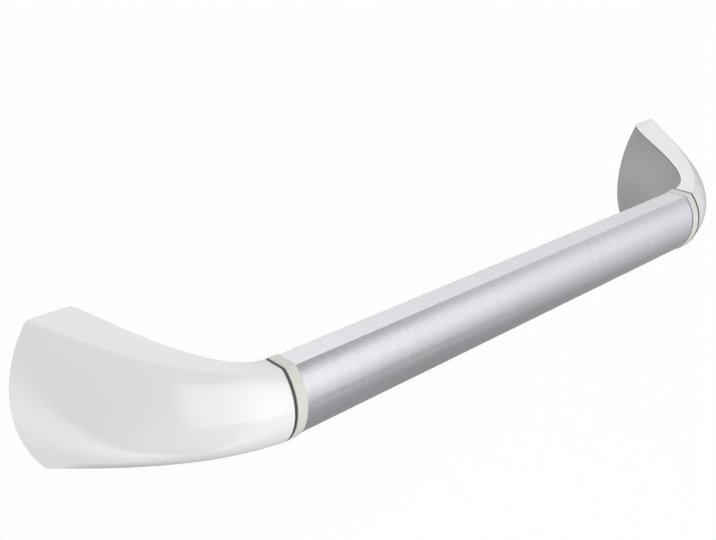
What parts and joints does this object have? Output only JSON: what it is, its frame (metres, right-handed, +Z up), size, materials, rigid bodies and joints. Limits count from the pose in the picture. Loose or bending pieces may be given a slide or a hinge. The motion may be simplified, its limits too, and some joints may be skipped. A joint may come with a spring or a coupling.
{
  "type": "wall grab rail",
  "caption": "Straight barrel-section wall grab rail held by curved end brackets, each with a seal ring, an inset cover over its fixings and a concealed wall plate.",
  "frame": {"origin": "middle of the left foot's wall plate, on its face against the wall", "axes": "+X along the rail from the left foot to the right one, +Y into the wall, +Z up"},
  "size_m": [0.5, 0.0839, 0.074],
  "materials": {
    "rail": "brushed and anodised, fine rings round the section",
    "bracket": "white, high gloss",
    "cover": "mid grey, satin",
    "ring": "ivory elastomer, satin",
    "plate": "stainless steel, plain",
    "connector": "die cast",
    "screw": "stainless steel"
  },
  "bodies": {
    "rail": {"rail_tube": "rail", "end_bracket_left": "bracket", "end_bracket_right": "bracket", "seal_ring_left": "ring", "seal_ring_right": "ring", "wall_plate_left": "plate", "wall_plate_right": "plate", "rail_connector_left": "connector", "rail_connector_right": "connector", "plate_screw_upper_left": "screw", "plate_screw_lower_left": "screw", "plate_screw_upper_right": "screw", "plate_screw_lower_right": "screw", "connector_screw_upper_left": "screw", "connector_screw_lower_left": "screw", "connector_screw_upper_right": "screw", "connector_screw_lower_right": "screw", "rail_set_screw_left": "screw", "rail_set_screw_right": "screw"},
    "cover_left": {"screw_cover_left": "cover"},
    "cover_right": {"screw_cover_right": "cover"}
  },
  "joints": [
    {"name": "cover_left_pull", "type": "slide", "parent": "rail", "child": "cover_left", "axis": [1, 0, 0], "range_m": [0, 0.06]},
    {"name": "cover_right_pull", "type": "slide", "parent": "rail", "child": "cover_right", "axis": [-1, 0, 0], "range_m": [0, 0.06]}
  ]
}
